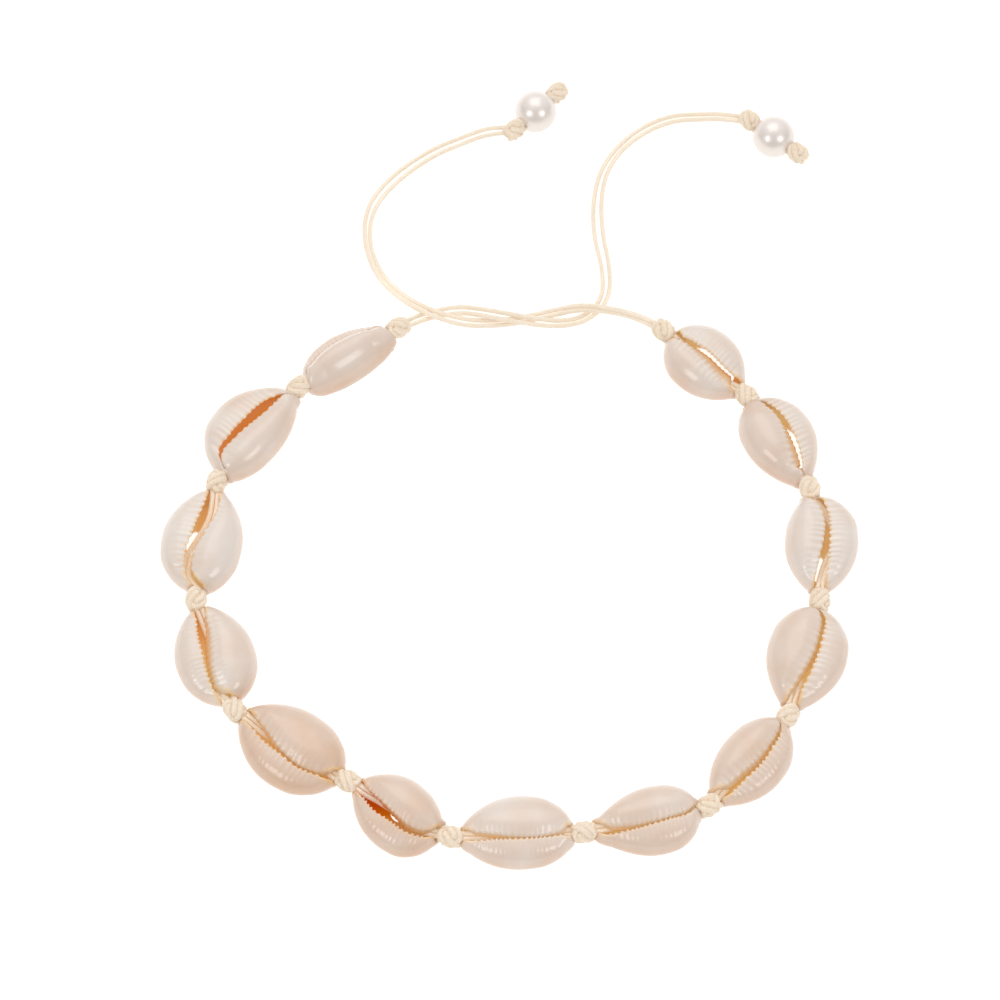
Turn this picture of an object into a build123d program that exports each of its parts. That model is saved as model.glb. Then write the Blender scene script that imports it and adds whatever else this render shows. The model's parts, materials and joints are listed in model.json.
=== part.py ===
"""Choker of cut cowrie shells on a doubled waxed cord, closed by a half knot of its two ends.

It lies on a surface, +Z up, in millimetres. X is the longest way across the loop of
shells, and the free ends with their pearl beads lie towards +Y.
"""

import math
import os

from build123d import *

# Cord: two strands side by side go through everything
cord_d = 0.9            # waxed cord
strand_gap = 0.12       # between the two strands of a pair
clearance = 0.12        # between a strand and the wall of its bore
pitch = cord_d + strand_gap
string_height = 2.6     # middle of the cord above the surface, in shells and string knots
bore_r = pitch / 2 + cord_d / 2 + clearance

# Shells: the ground back lies on the surface, the toothed aperture faces up
shell_width = 14.0      # full width of a shell whose two shares add to 1
shell_half_height = 4.6
shell_drop = 0.6        # middle of the shell's oval under the middle of the cord
wall = 1.4
end_gap = 0.45          # between a shell's end and the knot beside it
tooth_depth = 0.25

# Knots: two turns of the doubled cord side by side
knot_length = 3.4
knot_r = 2.3            # over either turn
knot_waist_r = 2.0
knot_end_r = 1.45

# Pearl beads near the free ends
pearl_d = 8.0
pearl_height = 4.0      # middle of the pearl's bore above the surface
touch_gap = 0.1         # between a pearl and the knot beside it

# Middle of each string knot seen from above, from the left end of the tie round to the right end
knot_xy = [
    (-21.0, 52.6),
    (-39.4, 40.0),
    (-54.1, 20.5),
    (-57.1, -3.2),
    (-49.3, -24.7),
    (-28.8, -38.3),
    (-10.6, -48.8),
    (13.0, -47.9),
    (35.2, -43.0),
    (49.8, -25.9),
    (56.4, -3.4),
    (55.4, 19.1),
    (44.3, 38.3),
    (29.1, 52.0),
]

# One row a shell: shares of shell_width outside and inside the cord, how far the slot bends
# outwards, its widest half gap (both mm), and its roll about the cord, top outwards (degrees)
shell_rows = [
    (0.50, 0.42, 2.0, 1.0, 32),
    (0.62, 0.39, 1.9, 1.0, 0),
    (0.59, 0.48, 2.8, 1.3, 0),
    (0.54, 0.51, 1.8, 1.3, 0),
    (0.58, 0.54, 2.4, 1.4, 0),
    (0.53, 0.46, 2.0, 1.3, 0),
    (0.45, 0.52, 1.6, 1.1, 0),
    (0.48, 0.42, 1.8, 1.1, 0),
    (0.47, 0.43, 1.8, 1.2, 0),
    (0.56, 0.51, 1.6, 1.2, 0),
    (0.57, 0.42, 2.1, 1.3, 0),
    (0.55, 0.46, 2.2, 1.1, 10),
    (0.50, 0.45, 2.0, 1.2, 0),
]

# Oval of a shell along its length: share of the length, of the width, of the half height
oval_rows = [
    (0.00, 0.30, 0.46),
    (0.05, 0.44, 0.58),
    (0.16, 0.72, 0.78),
    (0.34, 0.94, 0.95),
    (0.55, 1.00, 1.00),
    (0.76, 0.90, 0.92),
    (0.90, 0.66, 0.76),
    (0.97, 0.46, 0.60),
    (1.00, 0.36, 0.50),
]
hollow_rows = oval_rows[2:7]

# Tooth tips of both lips: share of the length, of the slot's bend, of its half gap
tooth_rows = [
    (0.20, 0.12, 1.00),
    (0.26, 0.25, 1.00),
    (0.32, 0.40, 0.98),
    (0.38, 0.55, 0.90),
    (0.44, 0.70, 0.78),
    (0.50, 0.83, 0.66),
    (0.56, 0.93, 0.56),
    (0.62, 1.00, 0.50),
    (0.68, 1.00, 0.50),
    (0.74, 0.90, 0.54),
    (0.80, 0.66, 0.64),
    (0.86, 0.30, 0.80),
]
canal_from, canal_to = 0.17, 0.88

# Pearl ends: middle of the knot before the pearl, and which way the cord leaves it (degrees)
pearl_rows = {
    "pearl_left": (1.0, 95.0, 45),
    "pearl_right": (46.5, 97.1, -39),
}

# Tie: the left pair goes over the right pair in the middle and under it on both sides
tie_routes = {
    "tie_left_upper": [
        (-21.2, 53.1, 2.6),
        (-18.0, 55.3, 1.9),
        (-14.2, 57.4, 0.45),
        (-9.4, 58.2, 0.7),
        (-4.4, 56.9, 1.8),
        (5.0, 54.9, 1.9),
        (10.0, 55.0, 0.6),
        (14.4, 56.2, 0.45),
        (17.7, 60.0, 0.45),
        (17.8, 66.0, 0.45),
        (16.1, 73.6, 0.45),
        (16.1, 82.0, 0.45),
        (18.0, 89.4, 0.45),
        (23.4, 96.2, 0.45),
        (30.6, 100.3, 0.45),
        (37.2, 100.0, 1.6),
        (42.2, 98.9, 3.4),
        (46.7, 97.6, 4.0),
    ],
    "tie_left_lower": [
        (-20.6, 52.2, 2.6),
        (-17.3, 54.3, 1.9),
        (-13.6, 56.2, 0.45),
        (-9.0, 56.9, 0.7),
        (-4.6, 55.6, 1.8),
        (3.4, 53.8, 1.8),
        (9.6, 53.8, 0.6),
        (15.0, 55.2, 0.45),
        (18.9, 59.6, 0.45),
        (19.3, 66.0, 0.45),
        (17.8, 74.0, 0.45),
        (17.6, 82.4, 0.45),
        (19.3, 89.3, 0.45),
        (24.0, 95.1, 0.45),
        (31.0, 99.1, 0.45),
        (37.0, 98.8, 1.6),
        (42.0, 97.8, 3.4),
        (46.2, 96.6, 4.0),
    ],
    "tie_right_lower": [
        (28.7, 51.7, 2.6),
        (25.7, 54.1, 2.2),
        (20.4, 56.2, 1.8),
        (13.4, 57.1, 1.8),
        (7.6, 56.1, 0.6),
        (2.0, 54.7, 0.45),
        (-4.6, 54.0, 0.45),
        (-10.0, 53.9, 1.4),
        (-16.6, 56.0, 2.7),
        (-21.0, 59.5, 1.5),
        (-25.6, 65.0, 0.45),
        (-28.0, 72.6, 0.45),
        (-27.4, 80.4, 0.45),
        (-22.6, 87.0, 0.45),
        (-15.4, 92.6, 0.45),
        (-8.6, 95.2, 1.3),
        (-3.4, 96.2, 3.2),
        (0.6, 95.5, 4.0),
    ],
    "tie_right_upper": [
        (29.4, 52.5, 2.6),
        (26.6, 54.9, 2.2),
        (21.0, 57.3, 1.8),
        (13.8, 58.3, 1.8),
        (7.6, 57.2, 0.7),
        (1.6, 55.7, 0.45),
        (-5.2, 55.1, 0.45),
        (-10.6, 55.4, 1.5),
        (-15.4, 57.4, 2.3),
        (-20.0, 60.9, 1.4),
        (-24.4, 65.8, 0.45),
        (-26.8, 72.4, 0.45),
        (-26.2, 79.6, 0.45),
        (-21.8, 85.6, 0.45),
        (-15.0, 91.2, 0.45),
        (-9.0, 93.6, 1.2),
        (-3.8, 94.7, 3.2),
        (1.2, 94.5, 4.0),
    ],
}

os.makedirs("parts", exist_ok=True)
knots_at = [Vector(x, y, string_height) for x, y in knot_xy]
runs = [(b - a).normalized() for a, b in zip(knots_at, knots_at[1:])]


def left_of(direction):
    """Level unit vector to the left of a direction, which is inwards on the loop."""
    return Vector(-direction.Y, direction.X, 0).normalized()


def half_turn(before, after):
    return math.radians(before.get_angle(after)) / 2


def tube(path, radius):
    return sweep(Plane(origin=path @ 0, z_dir=path % 0) * Circle(radius), path=path)


def strand(path, radii, name):
    """Tube of the cord, with its length, bends and volume against section times length."""
    solid = tube(path, cord_d / 2)
    plain = math.pi * cord_d**2 / 4 * path.length
    print(name, "length", round(path.length, 1), "volume share", round(solid.volume / plain, 3))
    print("  radii", [round(radius, 1) for radius in radii])
    return solid


# Cross-section of a shell
def arc(centre, start, end):
    """Shorter arc about a centre."""
    radius = (start - centre).length
    middle = centre + (start + end - centre * 2).normalized() * radius
    return ThreePointArc(start, middle, end)


def half_oval(side, width, half_height):
    """Three tangent arcs down one side, from the top to the bottom."""
    small_r = 0.75 * min(width, half_height)
    reach = width - small_r
    large_r = (half_height**2 + reach**2 - small_r**2) / (2 * (half_height - small_r))
    top, bottom = Vector(0, half_height), Vector(0, -half_height)
    high, low = Vector(0, half_height - large_r), Vector(0, large_r - half_height)
    middle = Vector(side * reach, 0)
    upper = middle + (middle - high).normalized() * small_r
    lower = middle + (middle - low).normalized() * small_r
    return [arc(high, top, upper), arc(middle, upper, lower), arc(low, lower, bottom)]


def oval(x, out_width, in_width, half_height):
    """Neither side is narrower than the oval is high, so that its arcs stay tangent."""
    least = 1.02 * half_height
    inside = half_oval(1, max(in_width, least), half_height)
    outside = half_oval(-1, max(out_width, least), half_height)
    plane = Plane(origin=(x, 0, -shell_drop), x_dir=(0, 1, 0), z_dir=(1, 0, 0))
    return plane * make_face(inside + outside)


def oval_loft(rows, length, out_width, in_width, inset):
    return loft(
        [
            oval(
                along * length,
                wide * out_width - inset,
                wide * in_width - inset,
                high * shell_half_height - inset,
            )
            for along, wide, high in rows
        ]
    )


# Aperture with its teeth, and the canal at each end that the cord lies in
def lip(side, length, bend, gap):
    """Tooth tips of one lip joined by the small hollows between them."""
    tips = [
        Vector(along * length, side * gap * open_ - bend * shift)
        for along, shift, open_ in tooth_rows
    ]
    hollow = Vector(0, side * tooth_depth)
    arcs = [ThreePointArc(a, (a + b) / 2 + hollow, b) for a, b in zip(tips, tips[1:])]
    first = Vector(canal_from * length, side * bore_r)
    last = Vector(canal_to * length, side * bore_r)
    outer_start = Vector(-1, side * bore_r)
    outer_end = Vector(length + 1, side * bore_r)
    return [
        Line(outer_start, first),
        Line(first, tips[0]),
        *arcs,
        Line(tips[-1], last),
        Line(last, outer_end),
    ]


def aperture(length, bend, gap, floor_z):
    edges = [
        *lip(1, length, bend, gap),
        *lip(-1, length, bend, gap),
        Line((-1, -bore_r), (-1, bore_r)),
        Line((length + 1, -bore_r), (length + 1, bore_r)),
    ]
    return Pos(0, 0, floor_z) * extrude(make_face(edges), 3 * shell_half_height)


def shell(length, out_share, in_share, bend, gap, roll):
    """A shell along +X from its narrow end, the middle of the cord at Z 0, +Y inwards."""
    widths = (out_share * shell_width, in_share * shell_width)
    body = oval_loft(oval_rows, length, *widths, 0)
    body -= oval_loft(hollow_rows, length, *widths, wall)
    dip = pitch / 2 * math.sin(math.radians(abs(roll)))
    body -= aperture(length, bend, gap, -cord_d / 2 - clearance - dip)
    body = Rot(roll, 0, 0) * body
    below = Pos(length / 2, 0, -string_height) * Box(
        2 * length, 4 * shell_width, 20, align=(Align.CENTER, Align.CENTER, Align.MAX)
    )
    return body - below


def knot(middle, axis):
    """Two-lobed barrel about the cord's own direction, not yet bored."""
    half = knot_length / 2
    lobe = 0.45 * half
    top = Spline(
        (-half, knot_end_r),
        (-lobe, knot_r),
        (0, knot_waist_r),
        (lobe, knot_r),
        (half, knot_end_r),
    )
    profile = make_face(
        [
            top,
            Line((half, knot_end_r), (half, 0)),
            Line((half, 0), (-half, 0)),
            Line((-half, 0), (-half, knot_end_r)),
        ]
    )
    turned = revolve(profile, Axis.X)
    return Plane(origin=middle, x_dir=axis, z_dir=left_of(axis).cross(axis) * -1) * turned


# String of shells and knots: both strands turn only inside the knots
def string_points(side):
    points = [knots_at[0] + left_of(runs[0]) * (side * pitch / 2)]
    for at, before, after in zip(knots_at[1:-1], runs, runs[1:]):
        across = left_of(before + after)
        reach = side * pitch / 2 / math.cos(half_turn(before, after))
        points.append(at + across * reach)
    points.append(knots_at[-1] + left_of(runs[-1]) * (side * pitch / 2))
    return points


def knot_bend(before, after):
    """Radius of the bend that fits in a knot's length."""
    return knot_length / 2 / math.tan(half_turn(before, after))


string_radii = [knot_bend(before, after) for before, after in zip(runs, runs[1:])]
string_sides = {"string_outer": -1, "string_inner": 1}
pieces = {}
bores = {}
for name, side in string_sides.items():
    points = string_points(side)
    path = FilletPolyline(*points, radius=string_radii)
    pieces[name] = strand(path, string_radii, name)
    for number in range(1, len(points) - 1):
        start, corner, end = points[number - 1 : number + 2]
        bend = string_radii[number - 1]
        short = FilletPolyline(
            corner + (start - corner).normalized() * knot_length,
            corner,
            corner + (end - corner).normalized() * knot_length,
            radius=bend,
        )
        bores.setdefault(f"knot_{number + 1:02}", []).append(
            tube(short, cord_d / 2 + clearance)
        )
    for number, inner in ((0, 1), (len(points) - 1, -2)):
        straight = Line(points[number], points[number] + (points[inner] - points[number]) / 5)
        bores.setdefault(f"knot_{number + 1:02}", []).append(
            tube(straight, cord_d / 2 + clearance)
        )


# Tie: each strand starts in an end knot and ends in the knot before its pearl
def route_radii(points):
    radii = []
    for before, at, after in zip(points, points[1:], points[2:]):
        run = min((at - before).length, (after - at).length)
        radii.append(0.45 * run / math.tan(half_turn(at - before, after - at)))
    return radii


tie_knots = {
    "tie_left_upper": ("knot_01", "pearl_right_knot_near"),
    "tie_left_lower": ("knot_01", "pearl_right_knot_near"),
    "tie_right_lower": ("knot_14", "pearl_left_knot_near"),
    "tie_right_upper": ("knot_14", "pearl_left_knot_near"),
}
for name, route in tie_routes.items():
    points = [Vector(*point) for point in route]
    radii = route_radii(points)
    path = FilletPolyline(*points, radius=radii)
    pieces[name] = strand(path, radii, name)
    from_knot, to_knot = tie_knots[name]
    for knot_name, at, towards in (
        (from_knot, points[0], points[1]),
        (to_knot, points[-1], points[-2]),
    ):
        back = at - (towards - at).normalized() * clearance
        opening = Line(back, at + (towards - at) * 0.95)
        bores.setdefault(knot_name, []).append(tube(opening, cord_d / 2 + clearance))

# Pearl ends: knot, pearl, knot on two straight strands
knot_places = {}
knot_step = pearl_d / 2 + touch_gap + knot_length / 2
for name, (x, y, heading) in pearl_rows.items():
    axis = Vector(math.cos(math.radians(heading)), math.sin(math.radians(heading)), 0)
    near = Vector(x, y, pearl_height)
    centre = near + axis * knot_step
    far = centre + axis * knot_step
    knot_places[f"{name}_knot_near"] = (near, axis)
    knot_places[f"{name}_knot_far"] = (far, axis)
    along = Plane(origin=centre, z_dir=axis)
    drilled = Pos(*centre) * Sphere(pearl_d / 2) - along * Cylinder(bore_r, 2 * pearl_d)
    pieces[name] = drilled
    for label, side in (("inner", -1), ("outer", 1)):
        shift = left_of(axis) * (side * pitch / 2)
        start = near + axis * 0.5 + shift
        end = far + axis * (knot_length / 2 + 0.5) + shift
        pieces[f"{name}_strand_{label}"] = tube(Line(start, end), cord_d / 2)
        bore = tube(Line(near + shift - axis * 0.1, end + axis), cord_d / 2 + clearance)
        bores.setdefault(f"{name}_knot_near", []).append(bore)
        bores.setdefault(f"{name}_knot_far", []).append(bore)

# Knots, each bored for its own strands
for number, at in enumerate(knots_at):
    before = runs[max(number - 1, 0)]
    after = runs[min(number, len(runs) - 1)]
    knot_places[f"knot_{number + 1:02}"] = (at, (before + after).normalized())
for name, (at, axis) in knot_places.items():
    solid = knot(at, axis)
    for bore in bores[name]:
        solid -= bore
    pieces[name] = solid

# Shells
for number, (at, run, row) in enumerate(zip(knots_at, runs, shell_rows)):
    span = (knots_at[number + 1] - at).length
    margin = knot_length / 2 + end_gap
    place = Plane(origin=at + run * margin, x_dir=run, z_dir=(0, 0, 1))
    pieces[f"shell_{number + 1:02}"] = place * shell(span - 2 * margin, *row)

for name, piece in pieces.items():
    export_step(piece, f"parts/{name}.step")
print(len(pieces), "pieces")
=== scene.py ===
# %% [markdown]
# A choker of cut cowrie shells, made as a lesson. The frame holds the solids of the
# necklace at their real size, in metres, lying on a surface. The cells below give it
# its looks: camera and light first, then the cord, the shells, the knots and the
# pearls, each with a material made of nodes.

import json
import math

import bpy
import numpy as np
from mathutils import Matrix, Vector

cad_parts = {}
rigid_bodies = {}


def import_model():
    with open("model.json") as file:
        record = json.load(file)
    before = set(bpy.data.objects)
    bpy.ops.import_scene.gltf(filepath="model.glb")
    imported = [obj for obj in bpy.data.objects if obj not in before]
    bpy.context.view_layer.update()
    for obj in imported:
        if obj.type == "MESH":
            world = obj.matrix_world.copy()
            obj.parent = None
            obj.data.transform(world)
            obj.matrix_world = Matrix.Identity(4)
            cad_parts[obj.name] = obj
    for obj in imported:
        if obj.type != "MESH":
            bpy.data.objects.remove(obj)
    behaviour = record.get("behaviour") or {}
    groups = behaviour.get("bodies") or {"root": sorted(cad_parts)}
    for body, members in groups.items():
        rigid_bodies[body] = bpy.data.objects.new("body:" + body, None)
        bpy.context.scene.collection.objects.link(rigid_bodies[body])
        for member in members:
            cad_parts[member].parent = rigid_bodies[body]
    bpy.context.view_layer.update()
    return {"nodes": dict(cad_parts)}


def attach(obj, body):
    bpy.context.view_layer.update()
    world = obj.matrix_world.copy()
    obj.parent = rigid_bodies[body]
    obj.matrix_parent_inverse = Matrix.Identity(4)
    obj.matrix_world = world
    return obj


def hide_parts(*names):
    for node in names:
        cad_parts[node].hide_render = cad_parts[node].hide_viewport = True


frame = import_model()
MM = 0.001
print("frame holds", len(frame["nodes"]), "solids")

# %% [markdown]
# The photograph looks down at about 65 degrees onto the near side of the loop. A long
# lens far away keeps the loop nearly round. Angle, distance and lens could be set by
# trial, but here they come from the size of the loop and of the pearls in the picture.

# %% Camera
CAMERA_PLACE = (-0.0018, -0.2616, 0.5996)
CAMERA_TILT = math.radians(25)  # away from straight down
bpy.ops.object.camera_add(location=CAMERA_PLACE, rotation=(CAMERA_TILT, 0, 0))
camera = bpy.context.object
camera.name = "camera"
camera.data.lens = 128.7
camera.data.sensor_width = 36
camera.data.clip_start = 0.01
bpy.context.scene.camera = camera
print("lens", camera.data.lens, "mm")

# %% [markdown]
# The picture has a pure white ground with next to no shadow, light glows out of the
# shells from below, and each pearl shows two bright spots under a broad white top.
# That is a light table of white acrylic, a big white card behind, and a soft box on
# each side of the camera. The table gives off part of its brightness itself here, the
# card is the bright side of the world colour, and the boxes are area lamps.

# %% Floor and studio light
def deselect():
    bpy.ops.object.select_all(action="DESELECT")


def linear(hex_code):
    """sRGB hex to the linear colour that the shader takes."""
    parts = [int(hex_code[i : i + 2], 16) / 255 for i in (1, 3, 5)]
    light = [c / 12.92 if c <= 0.04045 else ((c + 0.055) / 1.055) ** 2.4 for c in parts]
    return (*light, 1)


def node(tree, kind, settings=None, **links):
    """Add one node, set its own settings, and fill its inputs with values or links."""
    made = tree.nodes.new(kind)
    for name, value in (settings or {}).items():
        setattr(made, name, value)
    for name, value in links.items():
        plain = name.replace("_", " ")
        socket = made.inputs[int(name[1:])] if name[1:].isdigit() else made.inputs[plain]
        if isinstance(value, bpy.types.NodeSocket):
            tree.links.new(value, socket)
        else:
            socket.default_value = value
    return made


def new_material(name):
    material = bpy.data.materials.new(name)
    material.use_nodes = True
    material.node_tree.nodes.clear()
    return material, material.node_tree


def finish_material(tree, shader):
    output = tree.nodes.new("ShaderNodeOutputMaterial")
    tree.links.new(shader.outputs[0], output.inputs["Surface"])


deselect()
bpy.ops.mesh.primitive_plane_add(size=6, location=(0, 0, 0))
floor = bpy.context.object
floor.name = "floor"
# Opal acrylic lit from below: an even matt white on which a shadow hardly shows.
acrylic, tree = new_material("lit white acrylic table")
finish_material(tree, node(
    tree, "ShaderNodeBsdfPrincipled", Base_Color=linear("#A8A7A5"), Roughness=0.9,
    Emission_Color=(1, 0.995, 0.985, 1), Emission_Strength=0.84,
))
floor.data.materials.append(acrylic)

world = bpy.data.worlds.new("white room")
bpy.context.scene.world = world
world.use_nodes = True
sky = world.node_tree
direction = node(sky, "ShaderNodeTexCoord").outputs["Generated"]
CARD_WAY = (0, 0.75, 0.66)  # towards the white card: behind the loop, and up
behind = node(
    sky, "ShaderNodeVectorMath", {"operation": "DOT_PRODUCT"}, _0=direction, _1=CARD_WAY
).outputs["Value"]
bright = node(
    sky, "ShaderNodeMapRange", {"interpolation_type": "SMOOTHSTEP"},
    Value=behind, From_Min=0.05, From_Max=0.9, To_Min=0.47, To_Max=0.96,
).outputs[0]
background = sky.nodes["Background"]
background.inputs["Color"].default_value = (1, 0.99, 0.975, 1)
sky.links.new(bright, background.inputs["Strength"])

LAMP_AIM = (0, 0.03, 0)  # the middle of the loop and the tie
lamps = [
    # name, place, width, watts
    ("left_box", (-0.58, -0.46, 0.60), 0.40, 1.7),
    ("right_box", (0.58, -0.46, 0.60), 0.40, 1.7),
    ("top_box", (-0.05, 0.42, 0.72), 0.70, 1.35),
]
for name, place, width, watts in lamps:
    bpy.ops.object.light_add(type="AREA", location=place)
    lamp = bpy.context.object
    lamp.name = name
    lamp.data.size = width
    lamp.data.energy = watts
    way = Vector(LAMP_AIM) - Vector(place)
    lamp.rotation_euler = way.to_track_quat("-Z", "Y").to_euler()
bpy.context.scene.view_settings.view_transform = "Standard"
print("lamps", [lamp[0] for lamp in lamps])

# %% [markdown]
# The tie is the doubled waxed cotton cord itself. Its two left strands and two right
# strands cross three times in a half knot and run up to the pearls. Each strand is a
# smooth curve through the places where the photograph shows it, with a round section,
# so it bends like cord that has kept a little of its own stiffness.

# %% The free strands of the tie
CORD = 0.9 * MM
tie_routes = {
    "tie_left_upper": [
        (-21.2, 53.1, 2.6), (-18.0, 55.3, 1.9), (-14.2, 57.4, 0.45), (-9.4, 58.2, 0.7),
        (-4.4, 56.9, 1.8), (5.0, 54.9, 1.9), (10.0, 55.0, 0.6), (14.4, 56.2, 0.45),
        (17.7, 60.0, 0.45), (17.8, 66.0, 0.45), (16.1, 73.6, 0.45), (16.1, 82.0, 0.45),
        (18.0, 89.4, 0.45), (23.4, 96.2, 0.45), (30.6, 100.3, 0.45), (37.2, 100.0, 1.6),
        (42.2, 98.9, 3.4), (46.7, 97.6, 4.0),
    ],
    "tie_left_lower": [
        (-20.6, 52.2, 2.6), (-17.3, 54.3, 1.9), (-13.6, 56.2, 0.45), (-9.0, 56.9, 0.7),
        (-4.6, 55.6, 1.8), (3.4, 53.8, 1.8), (9.6, 53.8, 0.6), (15.0, 55.2, 0.45),
        (18.9, 59.6, 0.45), (19.3, 66.0, 0.45), (17.8, 74.0, 0.45), (17.6, 82.4, 0.45),
        (19.3, 89.3, 0.45), (24.0, 95.1, 0.45), (31.0, 99.1, 0.45), (37.0, 98.8, 1.6),
        (42.0, 97.8, 3.4), (46.2, 96.6, 4.0),
    ],
    "tie_right_lower": [
        (28.7, 51.7, 2.6), (25.7, 54.1, 2.2), (20.4, 56.2, 1.8), (13.4, 57.1, 1.8),
        (7.6, 56.1, 0.6), (2.0, 54.7, 0.45), (-4.6, 54.0, 0.45), (-10.0, 53.9, 1.4),
        (-16.6, 56.0, 2.7), (-21.0, 59.5, 1.5), (-25.6, 65.0, 0.45), (-28.0, 72.6, 0.45),
        (-27.4, 80.4, 0.45), (-22.6, 87.0, 0.45), (-15.4, 92.6, 0.45), (-8.6, 95.2, 1.3),
        (-3.4, 96.2, 3.2), (0.6, 95.5, 4.0),
    ],
    "tie_right_upper": [
        (29.4, 52.5, 2.6), (26.1, 54.4, 3.0), (20.6, 56.5, 2.6), (13.7, 57.9, 2.2),
        (7.6, 57.2, 0.7), (1.6, 55.7, 0.45), (-5.2, 55.1, 0.45), (-10.6, 55.4, 1.5),
        (-15.9, 57.0, 2.4), (-20.3, 60.25, 1.4), (-24.7, 65.5, 0.45), (-27.0, 72.6, 0.45),
        (-26.2, 79.6, 0.45), (-21.8, 85.6, 0.45), (-15.0, 91.2, 0.45), (-9.0, 93.6, 1.2),
        (-3.8, 94.7, 3.2), (1.2, 94.5, 4.0),
    ],
}


def cord_curve(name, points):
    curve = bpy.data.curves.new(name, "CURVE")
    curve.dimensions = "3D"
    spline = curve.splines.new("NURBS")
    spline.points.add(len(points) - 1)
    for at, (x, y, z) in zip(spline.points, points):
        at.co = (x * MM, y * MM, z * MM, 1)
        at.radius = CORD / 2
    spline.order_u = 3
    spline.use_endpoint_u = True
    curve.resolution_u = 10
    curve.bevel_depth = 1.0
    curve.bevel_resolution = 4
    curve.use_fill_caps = True
    strand = bpy.data.objects.new(name, curve)
    bpy.context.collection.objects.link(strand)
    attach(strand, "root")
    return strand


tie_strands = {}
for name, route in tie_routes.items():
    strand = cord_curve(name.replace("tie_", "cord_"), route)
    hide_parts(name)
    tie_strands[name] = strand
    print(name, "points", len(route))

# %% [markdown]
# A cowrie cut for stringing is a ring: the back is ground off flat, and the toothed
# aperture is the hole through it. It could be sculpted, or cut from an egg shape, but
# a ring already has the right holes, so each shell starts as a torus. Its long way
# round follows the two lips, and its short way round goes over the back of the lip,
# down to the ground rim, up the hollow inside and back to the teeth.

# %% Shell measures, in millimetres
knot_xy = [
    (-21.0, 52.6), (-39.4, 40.0), (-54.1, 20.5), (-57.1, -3.2), (-49.3, -24.7),
    (-28.8, -38.3), (-10.6, -48.8), (13.0, -47.9), (35.2, -43.0), (49.8, -25.9),
    (56.4, -3.4), (55.4, 19.1), (44.3, 38.3), (29.1, 52.0),
]
STRING_Z = 2.6  # height of the string above the surface, and of each shell's own frame
SHELL_WIDTH = 14.0
HALF_HEIGHT = 4.6  # of the whole oval, before its back is ground off
DROP = 0.6  # how far the widest point of a shell lies below the string
WALL = 1.4
END_MARGIN = 1.95  # from the middle of a knot to the end of the shell
CANAL = 1.02  # half gap of the canals, where both strands come in and go out
SHUT = 0.06  # half gap where the lips close over them
STATIONS = (0.12, 0.3, 0.5, 0.7, 0.9)  # shares of a shell's length
NO_HOLE = (0.5, 0.01, 0.2, 0.2)  # so small that the ground back stays shut


def shell_row(**own):
    """Measures of one shell: what isn't given is as on a plain one."""
    plain = dict(roll=0, skew=1, far=0.0, end=0.0, lid=(0, 0), stain=1, lit=1, sway=(0,) * 5)
    return {**plain, **own}


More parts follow.
